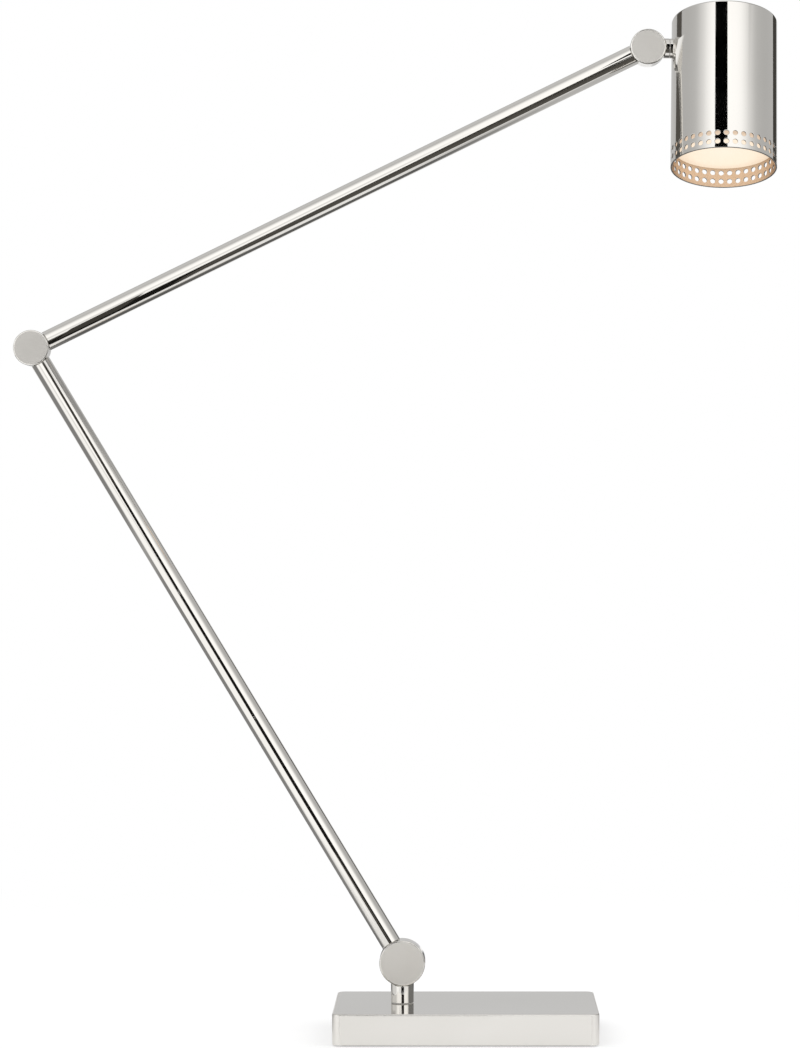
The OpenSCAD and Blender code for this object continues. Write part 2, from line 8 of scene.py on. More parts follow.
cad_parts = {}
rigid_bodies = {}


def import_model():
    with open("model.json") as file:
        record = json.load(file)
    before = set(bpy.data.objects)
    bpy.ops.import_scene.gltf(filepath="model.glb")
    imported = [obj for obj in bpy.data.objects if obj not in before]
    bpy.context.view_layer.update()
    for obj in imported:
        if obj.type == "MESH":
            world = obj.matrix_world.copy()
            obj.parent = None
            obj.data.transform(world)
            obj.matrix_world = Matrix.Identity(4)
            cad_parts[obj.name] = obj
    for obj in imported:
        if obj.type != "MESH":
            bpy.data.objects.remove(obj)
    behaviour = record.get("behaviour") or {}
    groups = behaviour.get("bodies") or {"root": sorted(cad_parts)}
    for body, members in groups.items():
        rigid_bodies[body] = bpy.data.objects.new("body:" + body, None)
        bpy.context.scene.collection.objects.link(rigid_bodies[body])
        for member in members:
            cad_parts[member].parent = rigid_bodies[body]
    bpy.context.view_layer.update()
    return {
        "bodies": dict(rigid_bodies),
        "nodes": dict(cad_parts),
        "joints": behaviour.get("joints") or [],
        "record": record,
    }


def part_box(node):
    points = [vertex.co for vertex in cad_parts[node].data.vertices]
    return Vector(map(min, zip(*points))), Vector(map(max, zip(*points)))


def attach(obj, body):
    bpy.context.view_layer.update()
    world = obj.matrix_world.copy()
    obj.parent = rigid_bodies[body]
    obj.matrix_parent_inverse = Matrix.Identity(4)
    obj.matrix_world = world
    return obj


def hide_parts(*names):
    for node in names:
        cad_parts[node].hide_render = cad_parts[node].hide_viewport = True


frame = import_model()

# Sizes in millimetres, as the construction has them
MM = 0.001  # metres in a millimetre

TUBE_R = 6.35
TUBE_BORE_R = 5.15
KNUCKLE_HALF = 7.0  # thickness of each half of a knuckle
KNUCKLE_EDGE = 0.8
SHOULDER_R = 14.5
JOINT_R = 11.3
SEAM = 0.2  # gap between the halves of a knuckle
COPE_GAP = 0.35  # gap between a knuckle and the tube cut round it
SPIGOT_LEN = 14.0
SPIGOT_GAP = 0.02  # gap between a knuckle's disc and its spigot
LEAD_BORE_R = 1.65
CAP_R = 5.2
CAP_T = 1.2

STEM_R = 7.25
STEM_BORE_R = 5.0
STEM_SPIGOT_END = 19.6  # from the shoulder's axis down

BASE_W = 166.0
BASE_D = 100.0
BASE_CORNER = 5.0
BASE_EDGE = 0.8
COVER_T = 1.5
COVER_LIP = 0.25
INLET_R = 4.3
INLET_CUT = 6.0  # half the depth of the cut for the cord's bush
PAD_INSET = 4.0
PAD_EASE = ((0.3, 0.0), (0.1, 0.1), (0.0, 0.4))  # inset and height of the pad's eased edge

SHADE_R = 33.4
SHADE_LEN = 99.5
SHADE_WALL = 0.9
SHADE_EDGE = 1.1
RIM_EDGE = 0.22
NECK_LEN = 48.6  # from the head knuckle's axis to the shade's axis
NECK_DROP = 19.1  # from the shade's top down to the neck
HEAD_ROLL = 16.0  # degrees
SADDLE_T = 1.2
SADDLE_BORE_R = 4.05
ROLL_WASHER_T = 0.4

HOLES = 38  # in each of the two rows
HOLE_R = 1.63
HOLE_EDGE = 0.1
HOLE_MARGIN = 0.25  # flat ring kept round each hole
HOLE_ROW_H = 4.2
HOLE_ROW_GAP = 5.7
HOLE_PHASE = -2.0  # degrees

DIFFUSER_H = 12.7
DIFFUSER_T = 2.0
DIFFUSER_LOW_EDGE = 0.4
DIFFUSER_TOP_EDGE = 0.2
LOOSE = 0.3  # gap between the diffuser and the wall
LIGHT_BELOW = 0.5  # from the diffuser down to its light

# Fineness of the meshes
SEGMENTS = 160
ARC_STEPS = 6
RIM_STEPS = 4
EDGE_STEPS = 8
CORNER_STEPS = 10
CELL_STEPS = 6  # on each side of the cell round a hole
CELL_START = math.radians(225)  # direction of a cell's first corner
SKIN = 0.006  # how far the outer faces stay inside the solids
SUPPORT = 0.12  # distance of a supporting loop from an edge
CHAMFER = 0.12
WELD = 0.004
SHARP = math.radians(30)
FLAT = 0.999  # cosine above which a face looks along a direction
WALL_MIDDLE = 0.35  # share of the wall, each way from its middle, where the holes' faces lie

# Places in the shade's frame and along the neck, from the sizes above
RIM_Z = NECK_DROP - SHADE_LEN
TOP_Z = NECK_DROP - SKIN
INNER_TOP_Z = NECK_DROP - SHADE_WALL
DIFFUSER_Z = RIM_Z + DIFFUSER_H
OUTER_R = SHADE_R - SKIN
INNER_R = SHADE_R - SHADE_WALL
MIDDLE_R = (INNER_R + OUTER_R) / 2
BAND = [RIM_Z + HOLE_ROW_H + (row - 0.5) * HOLE_ROW_GAP for row in range(3)]  # the rows' edges
HOLE_PITCH = math.tau / HOLES
FIRST_HOLE = math.radians(HOLE_PHASE - 90)
WALL_X = NECK_LEN - SHADE_R
SLEEVE_END = WALL_X - SADDLE_T - ROLL_WASHER_T

# Looks; the scales of noise are in cycles per metre
NOISE_LOW, NOISE_HIGH = 0.3, 0.7  # the middle range of a noise
GRAIN_LOW, GRAIN_HIGH = 0.35, 0.65
TONE_SCALE = 9.0
GLOSS_SCALE = 60.0
WAVE_SCALE = 12.0
GLOW_SCALE = 40.0
WAVE_DEPTH = 0.00002
NICKEL_LIGHT = (0.755, 0.736, 0.702)
NICKEL_DEEP = (0.715, 0.695, 0.658)
# The lining's colours paint the diffuser's warm glow into the inner wall; its edge tint is painted
# shade at grazing angles.
GLOW_PAINTED_COAT_LIGHT = (0.68, 0.575, 0.475)
GLOW_PAINTED_COAT_DEEP = (0.62, 0.515, 0.415)
SHADE_PAINTED_COAT_EDGE = (0.42, 0.29, 0.19)  # at grazing angles
OPAL_TONE = (0.10, 0.10, 0.095)
GLOW_SHIFT = 6.0  # millimetres from the diffuser's middle to the rear
GLOW_STOPS = (  # colour by share of the diffuser's radius
    (0.0, (0.93, 0.80, 0.65)),
    (0.62, (0.92, 0.77, 0.60)),
    (0.85, (0.84, 0.67, 0.50)),
    (1.0, (0.64, 0.47, 0.33)),
)

# Studio, in metres
FRONT_Y = -2.0
ARM_Y = -0.25
NECK_Y = -0.2
REAR_Y = 2.0
SIDE_X = 2.0
FLOOR_SIZE = 6.0
FLOOR_LIFT = 0.0004  # between the floor and the cards that lie on it
FLOOR_TONE = 0.45
FLOOR_GLOW = 0.50
FLOOR_FADE = (0.35, 0.9)  # distances between which the floor turns white
BLACK = 0.0
DARK = 0.01
GREY = 0.06
WARM_BELOW = 0.12  # cards darker than this are a little warm
WARM = (1.0, 0.94, 0.84, 1)
SKY_SCALE = 2.0  # a float curve ends at 1, so it holds the strengths divided by this
SKY_STOPS = (  # strength that reflections see, from the front (-1) to the rear (1)
    (-1.0, 1.36), (-0.8, 1.36), (-0.68, 1.32), (-0.55, 1.13), (-0.45, 0.93),
    (-0.33, 0.77), (-0.2, 0.64), (0.0, 0.58), (0.5, 0.57), (1.0, 0.63),
)
LIGHT_TARGET = (0, 0, 0.2)
LIGHT_SIZE = (1.2, 1.2)
INNER_LIGHT_POWER = 0.002
INNER_LIGHT_COLOUR = (1.0, 0.62, 0.34)
INNER_LIGHT_SHARE = 0.9  # of the shade's inner radius

# Camera
CAMERA_AT = (-0.0017, -2.032, 0.3197)
CAMERA_LENS = 109.9
CAMERA_SHIFT = (-0.0601, 0.0067)
SENSOR = 36.0


# Frames of the members, from the joints

def along(origin, direction):
    """A local frame with +X along a direction in the arms' plane and +Y to the rear."""
    angle = math.atan2(direction.z, direction.x)
    return Matrix.Translation(origin) @ Matrix.Rotation(-angle, 4, "Y")


FRONT = Vector((0, -1, 0))
REAR = Vector((0, 1, 0))
UP = Vector((0, 0, 1))
TO_REAR = Matrix.Rotation(math.radians(-90), 4, "X")
TO_FRONT = Matrix.Rotation(math.radians(90), 4, "X")
WORLD = Matrix.Identity(4)

joints = {joint["name"]: joint for joint in frame["joints"]}
shoulder = Vector(joints["shoulder"]["pos_m"])
elbow = Vector(joints["elbow"]["pos_m"])
head = Vector(joints["head_tilt"]["pos_m"])
neck_axis = Vector(joints["head_roll"]["axis"])

lower = along(shoulder, elbow - shoulder)
lower_back = along(elbow, shoulder - elbow)
upper = along(elbow, head - elbow)
upper_back = along(head, elbow - head)
neck = along(head, neck_axis)
stem_down = along(shoulder, -UP)
head_frame = neck @ Matrix.Rotation(math.radians(-HEAD_ROLL), 4, "X")
shade_frame = head_frame @ Matrix.Translation((NECK_LEN * MM, 0, 0))
lower_len = (elbow - shoulder).length / MM
upper_len = (head - elbow).length / MM


# Meshes

def full_turn(count, start=0.0):
    """Evenly spaced angles round a circle."""
    return [start + math.tau * i / count for i in range(count)]


def shell(loops, join_ends=False):
    """Vertices and faces through loops of equal length, closed by end faces or end to end."""
    count = len(loops[0])
    rows = len(loops)
    verts = [Vector(point) * MM for loop in loops for point in loop]
    faces = []
    for row in range(rows if join_ends else rows - 1):
        after = (row + 1) % rows
        for i in range(count):
            j = (i + 1) % count
            faces.append((row * count + i, row * count + j, after * count + j, after * count + i))
    if not join_ends:
        faces.append(tuple(range(count)))
        faces.append(tuple(range((rows - 1) * count, rows * count)))
    return verts, faces


def build_mesh(name, shells):
    """A smooth mesh with sharp creases from (vertices, faces, matrix) shells."""
    mesh = bpy.data.meshes.new(name)
    bm = bmesh.new()
    for verts, faces, matrix in shells:
        made = [bm.verts.new(matrix @ vert) for vert in verts]
        for face in faces:
            bm.faces.new([made[i] for i in face])
    bmesh.ops.recalc_face_normals(bm, faces=bm.faces)
    bm.to_mesh(mesh)
    bm.free()
    mesh.shade_smooth()
    mesh.set_sharp_from_angle(angle=SHARP)
    return mesh


def add_piece(name, mesh, body, slot, material, *nodes):
    """A piece that rides on a body and stands for CAD nodes."""
    piece = bpy.data.objects.new(name, mesh)
    bpy.context.scene.collection.objects.link(piece)
    piece.data.materials.append(material)
    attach(piece, body)
    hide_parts(*nodes)
    return piece


def add_polished(name, body, *shells):
    """A polished piece that stands for the node of its own name."""
    return add_piece(name, build_mesh(name, shells), body, "polished_metal", polish, name)


def arc(across, up, radius, start, end, steps=ARC_STEPS):
    """Points of a circular arc in a profile, in degrees from the outward direction."""
    points = []
    for i in range(steps + 1):
        angle = math.radians(start + (end - start) * i / steps)
        points.append((across + radius * math.cos(angle), up + radius * math.sin(angle)))
    return points


def disc_profile(radius, low, high, low_edge, high_edge):
    """Outline of a disc with rounded edges, from its lower face out and up to its upper face."""
    return (
        [(radius - low_edge - SUPPORT, low)]
        + arc(radius - low_edge, low + low_edge, low_edge, -90, 0)
        + [(radius, low + low_edge + SUPPORT), (radius, high - high_edge - SUPPORT)]
        + arc(radius - high_edge, high - high_edge, high_edge, 0, 90)
        + [(radius - high_edge - SUPPORT, high)]
    )


def lathe(profile):
    """A profile turned about +Z, with both ends closed."""
    return shell([
        [(radius * math.cos(t), radius * math.sin(t), height) for t in full_turn(SEGMENTS)]
        for radius, height in profile
    ])


# The ends of a tube along +X: each gives x for a radius and an angle of the tube's side

def flat_at(x):
    """A square end."""
    return lambda around, angle: x


def coped(radius):
    """The near end, cut round a knuckle of that radius at the frame's origin."""
    return lambda around, angle: math.sqrt(radius ** 2 - (around * math.sin(angle)) ** 2)


def coped_far(radius, length):
    """The far end, cut round a knuckle at the end of that length."""
    return lambda around, angle: length - coped(radius)(around, angle)


def on_shade(around, angle):
    """The end of a tube along the neck, where it meets the shade's outer face."""
    return NECK_LEN - math.sqrt(SHADE_R ** 2 - (around * math.cos(angle)) ** 2)


def tube(outer, inner, start, end):
    """A tube along +X between two cut ends, with a small chamfer outside."""
    def loop(radius, cut, shift=0.0):
        return [
            (cut(radius, t) + shift, radius * math.cos(t), radius * math.sin(t))
            for t in full_turn(SEGMENTS)
        ]

    return shell([
        loop(inner, start),
        loop(outer - CHAMFER, start),
        loop(outer, start, CHAMFER),
        loop(outer, start, CHAMFER + SUPPORT),
        loop(outer, end, -CHAMFER - SUPPORT),
        loop(outer, end, -CHAMFER),
        loop(outer - CHAMFER, end),
        loop(inner, end),
    ], join_ends=True)


def slab_loop(width, depth, corner, height):
    """A rectangle with rounded corners, with a point beside each end of its straight sides."""
    def beside(point, angle, way):
        side = math.radians(angle + 90)
        return point[0] + way * math.cos(side), point[1] + way * math.sin(side)

    loop = []
    for quarter, (sx, sy) in enumerate(((1, 1), (-1, 1), (-1, -1), (1, -1))):
        start, end = quarter * 90, quarter * 90 + 90
        cx = sx * (width / 2 - corner)
        cy = sy * (depth / 2 - corner)
        points = arc(cx, cy, corner, start, end, CORNER_STEPS)
        loop += [beside(points[0], start, -SUPPORT), *points, beside(points[-1], end, SUPPORT)]
    return [(x, y, height) for x, y in loop]


def slab(width, depth, corner, profile):
    """A slab whose profile gives how far each loop stands in from the outline, and its height."""
    return shell([
        slab_loop(width - 2 * inset, depth - 2 * inset, max(corner - inset, SUPPORT), height)
        for inset, height in profile
    ])


def cut_out(piece, verts, faces, matrix):
    """Cuts a closed shell out of a piece."""
    cutter = bpy.data.objects.new("cutter", build_mesh("cutter", [(verts, faces, matrix)]))
    bpy.context.scene.collection.objects.link(cutter)
    modifier = piece.modifiers.new("cut", "BOOLEAN")
    modifier.object = cutter
    modifier.solver = "EXACT"
    bpy.context.view_layer.update()
    evaluated = piece.evaluated_get(bpy.context.evaluated_depsgraph_get())
    mesh = bpy.data.meshes.new_from_object(evaluated)
    piece.modifiers.clear()
    piece.data = mesh
    bpy.data.objects.remove(cutter)


# Nodes

def new_material(name, **constants):
    """A material with one Principled shader and its constants set on it."""
    material = bpy.data.materials.new(name)
    material.use_nodes = True
    shader = material.node_tree.nodes["Principled BSDF"]
    for socket, value in constants.items():
        shader.inputs[socket.replace("_", " ")].default_value = value
    return material, material.node_tree, shader


def noise(tree, scale, detail=3.0):
    """Noise in an object's own coordinates."""
    place = tree.nodes.new("ShaderNodeTexCoord")
    texture = tree.nodes.new("ShaderNodeTexNoise")
    texture.inputs["Scale"].default_value = scale
    texture.inputs["Detail"].default_value = detail
    tree.links.new(place.outputs["Object"], texture.inputs["Vector"])
    return texture.outputs["Fac"]


def ramp(tree, value, *stops):
    """A colour ramp through (place, colour) stops."""
    node = tree.nodes.new("ShaderNodeValToRGB")
    elements = node.color_ramp.elements
    while len(elements) > 1:
        elements.remove(elements[-1])
    elements[0].position, elements[0].color = stops[0][0], (*stops[0][1], 1)
    for place, colour in stops[1:]:
        elements.new(place).color = (*colour, 1)
    tree.links.new(value, node.inputs["Fac"])
    return node.outputs["Color"]


def level(tree, value, low, high):
    """A number that runs from low to high while a noise runs over its middle range."""
    node = tree.nodes.new("ShaderNodeMapRange")
    node.inputs["From Min"].default_value = NOISE_LOW
    node.inputs["From Max"].default_value = NOISE_HIGH
    node.inputs["To Min"].default_value = low
    node.inputs["To Max"].default_value = high
    tree.links.new(value, node.inputs["Value"])
    return node.outputs["Result"]


def fade(tree, value, start, end):
    """Rises smoothly from 0 at start to 1 at end."""
    node = tree.nodes.new("ShaderNodeMapRange")
    node.interpolation_type = "SMOOTHSTEP"
    node.inputs["From Min"].default_value = start
    node.inputs["From Max"].default_value = end
    tree.links.new(value, node.inputs["Value"])
    return node.outputs["Result"]


def calculate(tree, operation, *values):
    """A Math node on sockets and plain numbers."""
    node = tree.nodes.new("ShaderNodeMath")
    node.operation = operation
    for socket, value in zip(node.inputs, values):
        if isinstance(value, bpy.types.NodeSocket):
            tree.links.new(value, socket)
        else:
            socket.default_value = value
    return node.outputs[0]


def add_bump(tree, shader, height, strength, distance):
    """Bump on a shader's normal."""
    node = tree.nodes.new("ShaderNodeBump")
    node.inputs["Strength"].default_value = strength
    node.inputs["Distance"].default_value = distance
    tree.links.new(height, node.inputs["Height"])
    tree.links.new(node.outputs["Normal"], shader.inputs["Normal"])


# Materials; low and high are the ends of the roughness

def nickel(name, low, high, share=1.0, light=NICKEL_LIGHT, deep=NICKEL_DEEP):
    """Nickel plate: a warm white metal, its tone and gloss a little uneven."""
    material, tree, shader = new_material(name, Metallic=1.0)
    light = [share * channel for channel in light]
    deep = [share * channel for channel in deep]
    tone = ramp(tree, noise(tree, TONE_SCALE), (NOISE_LOW, deep), (NOISE_HIGH, light))
    tree.links.new(tone, shader.inputs["Base Color"])
    gloss = level(tree, noise(tree, GLOSS_SCALE, detail=6.0), low, high)
    tree.links.new(gloss, shader.inputs["Roughness"])
    wave = noise(tree, WAVE_SCALE, detail=0.0)
    add_bump(tree, shader, wave, strength=0.1, distance=WAVE_DEPTH)
    return material


def plain(name, light, deep, scale, low, high, strength=0.2, distance=0.0001, **constants):
    """A material whose tone, gloss and surface vary with one grain."""
    material, tree, shader = new_material(name, **constants)
    grain = noise(tree, scale, detail=6.0)
    tone = ramp(tree, grain, (GRAIN_LOW, deep), (GRAIN_HIGH, light))
    tree.links.new(tone, shader.inputs["Base Color"])
    tree.links.new(level(tree, grain, low, high), shader.inputs["Roughness"])
    add_bump(tree, shader, grain, strength, distance)
    return material


def opal():
    """The lit diffuser: a warm white glow, brightest a little behind the middle."""
    material, tree, shader = new_material("opal_diffuser", Roughness=0.35, Emission_Strength=1.0)
    shader.inputs["Base Color"].default_value = (*OPAL_TONE, 1)
    middle = shade_frame @ Matrix.Translation((0, GLOW_SHIFT * MM, DIFFUSER_Z * MM))
    place = tree.nodes.new("ShaderNodeTexCoord")
    mapping = tree.nodes.new("ShaderNodeMapping")
    mapping.vector_type = "TEXTURE"
    mapping.inputs["Location"].default_value = middle.translation
    mapping.inputs["Rotation"].default_value = middle.to_euler()
    away = tree.nodes.new("ShaderNodeVectorMath")
    away.operation = "LENGTH"
    tree.links.new(place.outputs["Object"], mapping.inputs["Vector"])
    tree.links.new(mapping.outputs["Vector"], away.inputs[0])
    uneven = level(tree, noise(tree, GLOW_SCALE, detail=2.0), -0.02, 0.02)
    share = calculate(tree, "MULTIPLY_ADD", away.outputs["Value"], 1 / (INNER_R * MM), uneven)
    tree.links.new(ramp(tree, share, *GLOW_STOPS), shader.inputs["Emission Color"])
    return material


polish = nickel("nickel_polished", 0.035, 0.075)
# The lapped knuckle faces are copies of one nickel, lit and shaded by painted light: the
# shoulder's lighter, the elbow's and the head's darker.
lapped_shoulder_painted_light = nickel("nickel_lapped_low", 0.62, 0.70, 1.06)
lapped_elbow_painted_shade = nickel("nickel_lapped_elbow", 0.62, 0.70, 0.84)
lapped_head_painted_shade = nickel("nickel_lapped_head", 0.62, 0.70, 0.98)
# A darker nickel for the rim's edge and the walls of the holes: painted shade.
rim_and_hole_painted_shade = nickel("nickel_rim_edge", 0.2, 0.3, 0.34)
# The base's eased edges: a rougher nickel whose colour is a little lighter, a painted highlight.
eased_edge_painted_light = nickel("nickel_eased_edge", 0.34, 0.42, 1.04)
# The shade's inside: a peach colour that is the diffuser's glow painted in, and an edge tint that
# paints shade at grazing angles.
glow_painted_lining = nickel("warm_lining", 0.38, 0.48, light=GLOW_PAINTED_COAT_LIGHT, deep=GLOW_PAINTED_COAT_DEEP)
lining_shader = glow_painted_lining.node_tree.nodes["Principled BSDF"]
lining_shader.inputs["Specular Tint"].default_value = (*SHADE_PAINTED_COAT_EDGE, 1)
felt = plain("base_felt", (0.035, 0.035, 0.038), (0.012, 0.012, 0.014), 1500, 0.85, 0.98,
             strength=1.0, distance=0.0006, Sheen_Weight=0.5)
diffuser_glow = opal()

slot_materials = {
    "polished_metal": polish,
    "cast_weight": plain(
        "cast_iron", (0.09, 0.09, 0.095), (0.045, 0.045, 0.05), 900, 0.6, 0.85,
        strength=0.6, distance=0.0004, Metallic=0.6),
    "steel": plain(
        "zinc_steel", (0.52, 0.53, 0.55), (0.40, 0.41, 0.42), 300, 0.28, 0.42, Metallic=1.0),
    "brass": plain(
        "turned_brass", (0.70, 0.52, 0.23), (0.58, 0.41, 0.16), 300, 0.22, 0.36, Metallic=1.0),
    "bearing_plastic": plain(
        "bearing_plastic", (0.46, 0.45, 0.43), (0.38, 0.37, 0.35), 800, 0.4, 0.55),
    "bush_rubber": plain(
        "bush_rubber", (0.020, 0.020, 0.021), (0.012, 0.012, 0.013), 1200, 0.6, 0.8),
    "felt": felt,
    "sink_alloy": plain(
        "cast_alloy", (0.60, 0.61, 0.63), (0.48, 0.49, 0.51), 500, 0.35, 0.5, Metallic=1.0),
    "board": plain(
        "board_mask", (0.82, 0.84, 0.82), (0.76, 0.78, 0.76), 400, 0.3, 0.45),
    "led_phosphor": plain(
        "light_chips", (0.90, 0.70, 0.16), (0.84, 0.62, 0.12), 900, 0.3, 0.4),
    "white_reflector": plain(
        "white_reflector", (0.88, 0.87, 0.84), (0.84, 0.83, 0.80), 500, 0.45, 0.6),
    "opal_diffuser": diffuser_glow,
    "lead_insulation": plain(
        "wire_insulation", (0.30, 0.02, 0.015), (0.22, 0.012, 0.01), 600, 0.35, 0.5),
}

# The solids of the construction take the material of their slot
for part in frame["record"]["subparts"]:
    node_object = frame["nodes"][part["node"]]
    node_object.data.materials.clear()
    node_object.data.materials.append(slot_materials[part["material_slot"]])


# Knuckles, arms, stem and neck

def flat_faces_take(piece, material, direction):
    """The faces that look along a direction get a second material."""
    piece.data.materials.append(material)
    for face in piece.data.polygons:
        if face.normal.dot(direction) > FLAT:
            face.material_index = 1


def knuckle_half(name, body, radius, member, turn, end, bore_r, lapped):
    """One half of a knuckle: a disc with a rounded face and the spigot inside its member."""
    face = KNUCKLE_HALF - SKIN
    profile = disc_profile(radius - SKIN, SEAM / 2, face, CHAMFER, KNUCKLE_EDGE)
    if turn is TO_REAR:
        profile += [
            (CAP_R + CHAMFER + SUPPORT, face), (CAP_R + CHAMFER, face),
            (CAP_R, face - CHAMFER), (CAP_R, face - CAP_T),
        ]
    disc = (*lathe(profile), member @ turn)
    spigot = (*tube(bore_r, LEAD_BORE_R, coped(radius + SPIGOT_GAP), flat_at(end)), member)
    piece = add_polished(name, body, disc, spigot)
    # The lapped face takes its knuckle's copy of the lapped nickel, with painted light and shade
    # in its colour.
    flat_faces_take(piece, lapped, REAR if turn is TO_REAR else FRONT)


def rear_cap(name, body, place, lapped):
    """The cap over a pivot screw's pocket, flush with the knuckle's rear face."""
    low = KNUCKLE_HALF - CAP_T + SUPPORT
    profile = disc_profile(CAP_R - CHAMFER / 2, low, KNUCKLE_HALF, CHAMFER, CHAMFER)
    piece = add_polished(name, body, (*lathe(profile), Matrix.Translation(place) @ TO_REAR))
    # The cap's face takes its knuckle's copy of the lapped nickel, with painted light and shade in
    # its colour.
    flat_faces_take(piece, lapped, REAR)


knuckle_half("shoulder_rear_half", "stem", SHOULDER_R, stem_down, TO_REAR,
             STEM_SPIGOT_END, STEM_BORE_R, lapped_shoulder_painted_light)
knuckle_half("shoulder_front_half", "lower_arm", SHOULDER_R, lower, TO_FRONT,
             SHOULDER_R + SPIGOT_LEN, TUBE_BORE_R, lapped_shoulder_painted_light)
knuckle_half("elbow_rear_half", "lower_arm", JOINT_R, lower_back, TO_REAR,
             JOINT_R + SPIGOT_LEN, TUBE_BORE_R, lapped_elbow_painted_shade)
knuckle_half("elbow_front_half", "upper_arm", JOINT_R, upper, TO_FRONT,
             JOINT_R + SPIGOT_LEN, TUBE_BORE_R, lapped_elbow_painted_shade)
knuckle_half("head_rear_half", "upper_arm", JOINT_R, upper_back, TO_REAR,
             JOINT_R + SPIGOT_LEN, TUBE_BORE_R, lapped_head_painted_shade)
knuckle_half("head_front_half", "neck", JOINT_R, neck, TO_FRONT,
             SLEEVE_END, TUBE_BORE_R, lapped_head_painted_shade)
rear_cap("shoulder_rear_cap", "stem", shoulder, lapped_shoulder_painted_light)
rear_cap("elbow_rear_cap", "lower_arm", elbow, lapped_elbow_painted_shade)
rear_cap("head_rear_cap", "upper_arm", head, lapped_head_painted_shade)

shoulder_cut = coped(SHOULDER_R + COPE_GAP)
joint_cut = coped(JOINT_R + COPE_GAP)
stem_end = shoulder.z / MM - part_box("stem_post")[0].z / MM
lower_tube = tube(TUBE_R, TUBE_BORE_R, shoulder_cut, coped_far(JOINT_R + COPE_GAP, lower_len))
upper_tube = tube(TUBE_R, TUBE_BORE_R, joint_cut, coped_far(JOINT_R + COPE_GAP, upper_len))
stem_tube = tube(STEM_R, STEM_BORE_R, shoulder_cut, flat_at(stem_end))
sleeve = tube(TUBE_R, TUBE_BORE_R, joint_cut, flat_at(SLEEVE_END))
saddle = tube(TUBE_R, SADDLE_BORE_R, flat_at(WALL_X - SADDLE_T), on_shade)
add_polished("lower_arm_tube", "lower_arm", (*lower_tube, lower))
add_polished("upper_arm_tube", "upper_arm", (*upper_tube, upper))
add_polished("stem_post", "stem", (*stem_tube, stem_down))
add_polished("neck_sleeve", "neck", (*sleeve, neck))
add_polished("outer_saddle", "head", (*saddle, head_frame))


# Base

bottom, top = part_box("base_cover")
cover_low, cover_top = bottom.z / MM, top.z / MM
pad_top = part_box("foot_pad")[1].z / MM
top_edge = arc(0, cover_top - BASE_EDGE, BASE_EDGE, 0, 90, EDGE_STEPS)
cover = slab(BASE_W, BASE_D, BASE_CORNER, [
    (COVER_T + SUPPORT, cover_top - COVER_T),
    (COVER_T, cover_top - COVER_T),
    (COVER_T, cover_low + COVER_LIP),
    (COVER_T - COVER_LIP, cover_low),
    (COVER_LIP, cover_low),
    (COVER_LIP / 3, cover_low + COVER_LIP / 3),
    (0, cover_low + COVER_LIP),
    (0, cover_low + COVER_LIP + SUPPORT),
    (0, cover_top - BASE_EDGE - SUPPORT),
    *[(BASE_EDGE - across, up) for across, up in top_edge],
    (BASE_EDGE + SUPPORT, cover_top),
])
cover_piece = add_polished("base_cover", "base", (*cover, WORLD))
mounts = {mount["name"]: mount for mount in frame["record"]["mounts"]}
inlet = Matrix.Translation(mounts["cord_inlet"]["pos_m"]) @ TO_REAR
cut_out(cover_piece, *lathe([(INLET_R, -INLET_CUT), (INLET_R, INLET_CUT)]), inlet)
# The cover's rounded edges take the rougher nickel with its painted highlight.
cover_piece.data.materials.append(eased_edge_painted_light)
for face in cover_piece.data.polygons:
    if max(abs(part) for part in face.normal) < FLAT and face.center.z > pad_top * MM:
        face.material_index = 1

pad = slab(BASE_W - 2 * PAD_INSET, BASE_D - 2 * PAD_INSET, BASE_CORNER - COVER_T, [
    *PAD_EASE,
    *[(inset, pad_top - height) for inset, height in reversed(PAD_EASE)],
])
add_piece("foot_pad", build_mesh("foot_pad", [(*pad, WORLD)]), "base", "felt", felt, "foot_pad")


# Diffuser and shade

glass = lathe(disc_profile(
    INNER_R - LOOSE, DIFFUSER_Z, DIFFUSER_Z + DIFFUSER_T, DIFFUSER_LOW_EDGE, DIFFUSER_TOP_EDGE
))
add_piece("diffuser", build_mesh("diffuser", [(*glass, shade_frame)]), "head", "opal_diffuser",
          diffuser_glow, "diffuser")


def stack(bm, loops, cap=False):
    """Bridges loops with quads, and closes the last with one face where it is capped."""
    made = [[bm.verts.new(Vector(point) * MM) for point in loop] for loop in loops]
    count = len(made[0])
    for near, far in zip(made, made[1:]):
        for i in range(count):
            j = (i + 1) % count
            bm.faces.new((near[i], near[j], far[j], far[i]))
    if cap:
        bm.faces.new(made[-1])


def pierced_cell(bm, radius, column, row, depth):
    """The wall round one hole, from the cell's edge to the hole and some way into it.

    A positive depth leads in towards the shade's axis, a negative one leads out.
    """
    centre = FIRST_HOLE + column * HOLE_PITCH
    low, high = BAND[row], BAND[row + 1]
    hole_z = RIM_Z + HOLE_ROW_H + row * HOLE_ROW_GAP
    edge = []
    for side in range(4):
        for step in range(CELL_STEPS):
            part = step / CELL_STEPS
            across, up = ((part, 0), (1, part), (1 - part, 1), (0, 1 - part))[side]
            angle = centre + (across - 0.5) * HOLE_PITCH
            height = low + up * (high - low)
            edge.append((radius * math.cos(angle), radius * math.sin(angle), height))
    loops = [edge]
    inward = -1 if depth > 0 else 1
    for hole_r, sink in (
        (HOLE_R + HOLE_MARGIN, 0.0),
        (HOLE_R + HOLE_EDGE, 0.0),
        (HOLE_R + HOLE_EDGE / 3, HOLE_EDGE / 3),
        (HOLE_R, HOLE_EDGE),
        (HOLE_R, abs(depth)),
    ):
        at = radius + inward * sink
        loop = []
        for angle in full_turn(len(edge), CELL_START):
            turn = centre + math.asin(hole_r * math.cos(angle) / at)
            height = hole_z + hole_r * math.sin(angle)
            loop.append((at * math.cos(turn), at * math.sin(turn), height))
        loops.append(loop)
    stack(bm, loops)


